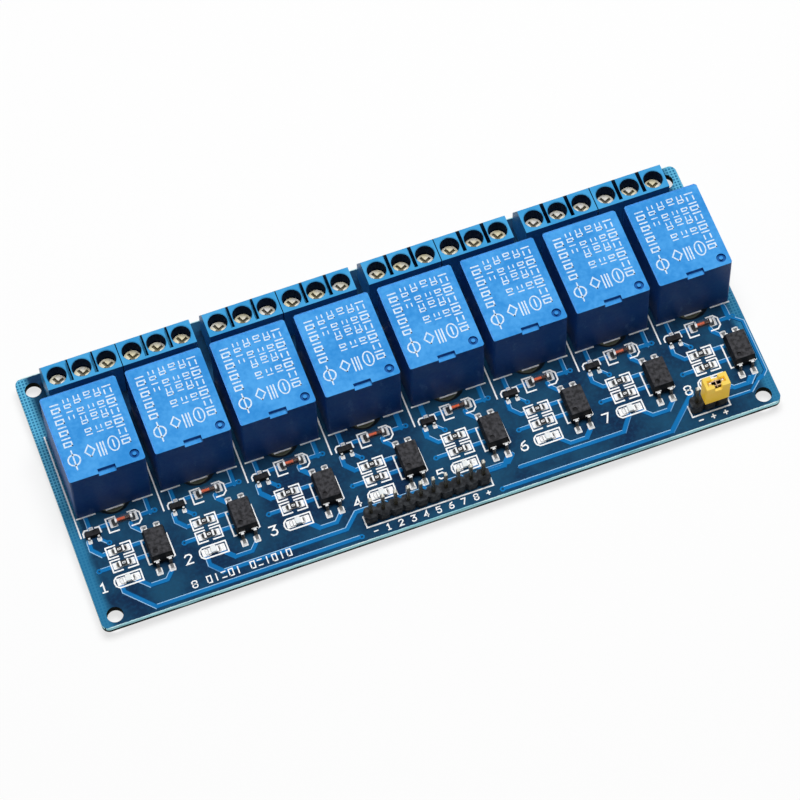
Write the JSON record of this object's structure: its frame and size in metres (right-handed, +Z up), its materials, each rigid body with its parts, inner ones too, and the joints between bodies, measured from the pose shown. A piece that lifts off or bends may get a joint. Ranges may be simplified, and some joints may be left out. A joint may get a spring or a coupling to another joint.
{
  "type": "relay module board",
  "caption": "Long blue circuit board with a row of cube relays, screw terminals behind them and driver parts with pin headers in front.",
  "frame": {"origin": "under the middle of the board, level with the trimmed pin ends it stands on", "axes": "+X along the board from the first channel to the last, +Y from the pin headers to the screw terminals, +Z up from the board"},
  "size_m": [0.138, 0.0566, 0.0188],
  "materials": {
    "board": "fibreglass board under glossy blue solder mask",
    "relay_case": "smooth moulded blue",
    "relay_base": "moulded",
    "bobbin": "moulded",
    "winding": "enamelled copper wire",
    "iron": "plated",
    "yoke": "plated sheet",
    "armature": "plated sheet with a riveted leaf spring",
    "contact_metal": "plain",
    "tinned_pin": "tinned",
    "screw_metal": "yellow plated",
    "clamp_metal": "plated",
    "black_package": "moulded, fine matt",
    "tinned_lead": "tinned",
    "resistor_body": "black overglaze",
    "lamp_base": "moulded",
    "lamp_lens": "cloudy clear",
    "diode_glass": "clear",
    "diode_core": "red-orange",
    "terminal_plastic": "smooth moulded blue",
    "header_plastic": "moulded",
    "header_pin": "flash plated",
    "jumper_plastic": "moulded yellow",
    "solder": "bright solder"
  },
  "bodies": {
    "board_assembly": {"board": "board", "relay_bases": "relay_base", "relay_bobbins": "bobbin", "relay_windings": "winding", "relay_cores": "iron", "relay_yokes": "yoke", "relay_switched_contacts": "contact_metal", "relay_common_pins": "contact_metal", "relay_coil_pins": "tinned_pin", "terminal_screws": "screw_metal", "terminal_clamps": "clamp_metal", "terminal_pins": "tinned_pin", "optocoupler_bodies": "black_package", "optocoupler_leads": "tinned_lead", "resistor_bodies": "resistor_body", "resistor_caps": "tinned_lead", "lamp_bases": "lamp_base", "lamp_caps": "tinned_lead", "lamp_lenses": "lamp_lens", "diode_glasses": "diode_glass", "diode_caps": "tinned_lead", "diode_cores": "diode_core", "transistor_bodies": "black_package", "transistor_leads": "tinned_lead", "input_header": "header_plastic", "input_pins": "header_pin", "supply_header": "header_plastic", "supply_pins": "header_pin", "solder_joints": "solder", "relay_case_1": "relay_case", "terminal_block_1": "terminal_plastic", "relay_case_2": "relay_case", "terminal_block_2": "terminal_plastic", "relay_case_3": "relay_case", "terminal_block_3": "terminal_plastic", "relay_case_4": "relay_case", "terminal_block_4": "terminal_plastic", "relay_case_5": "relay_case", "terminal_block_5": "terminal_plastic", "relay_case_6": "relay_case", "terminal_block_6": "terminal_plastic", "relay_case_7": "relay_case", "terminal_block_7": "terminal_plastic", "relay_case_8": "relay_case", "terminal_block_8": "terminal_plastic"},
    "armature_1": {"relay_armature_1": "armature"},
    "armature_2": {"relay_armature_2": "armature"},
    "armature_3": {"relay_armature_3": "armature"},
    "armature_4": {"relay_armature_4": "armature"},
    "armature_5": {"relay_armature_5": "armature"},
    "armature_6": {"relay_armature_6": "armature"},
    "armature_7": {"relay_armature_7": "armature"},
    "armature_8": {"relay_armature_8": "armature"},
    "jumper": {"jumper_cap": "jumper_plastic", "jumper_clip": "contact_metal"}
  },
  "joints": [
    {"name": "armature_1_pivot", "type": "hinge", "parent": "board_assembly", "child": "armature_1", "pos_m": [-0.059, -0.00275, 0.01415], "axis": [1, 0, 0], "range_deg": [-2, 0], "stiffness_Nm_per_rad": 0.002, "springref_deg": 9.74},
    {"name": "armature_2_pivot", "type": "hinge", "parent": "board_assembly", "child": "armature_2", "pos_m": [-0.042, -0.00275, 0.01415], "axis": [1, 0, 0], "range_deg": [-2, 0], "stiffness_Nm_per_rad": 0.002, "springref_deg": 9.74},
    {"name": "armature_3_pivot", "type": "hinge", "parent": "board_assembly", "child": "armature_3", "pos_m": [-0.025, -0.00275, 0.01415], "axis": [1, 0, 0], "range_deg": [-2, 0], "stiffness_Nm_per_rad": 0.002, "springref_deg": 9.74},
    {"name": "armature_4_pivot", "type": "hinge", "parent": "board_assembly", "child": "armature_4", "pos_m": [-0.008, -0.00275, 0.01415], "axis": [1, 0, 0], "range_deg": [-2, 0], "stiffness_Nm_per_rad": 0.002, "springref_deg": 9.74},
    {"name": "armature_5_pivot", "type": "hinge", "parent": "board_assembly", "child": "armature_5", "pos_m": [0.009, -0.00275, 0.01415], "axis": [1, 0, 0], "range_deg": [-2, 0], "stiffness_Nm_per_rad": 0.002, "springref_deg": 9.74},
    {"name": "armature_6_pivot", "type": "hinge", "parent": "board_assembly", "child": "armature_6", "pos_m": [0.026, -0.00275, 0.01415], "axis": [1, 0, 0], "range_deg": [-2, 0], "stiffness_Nm_per_rad": 0.002, "springref_deg": 9.74},
    {"name": "armature_7_pivot", "type": "hinge", "parent": "board_assembly", "child": "armature_7", "pos_m": [0.043, -0.00275, 0.01415], "axis": [1, 0, 0], "range_deg": [-2, 0], "stiffness_Nm_per_rad": 0.002, "springref_deg": 9.74},
    {"name": "armature_8_pivot", "type": "hinge", "parent": "board_assembly", "child": "armature_8", "pos_m": [0.06, -0.00275, 0.01415], "axis": [1, 0, 0], "range_deg": [-2, 0], "stiffness_Nm_per_rad": 0.002, "springref_deg": 9.74},
    {"name": "jumper_pull", "type": "slide", "parent": "board_assembly", "child": "jumper", "axis": [0, 0, 1], "range_m": [0, 0.0065]}
  ]
}
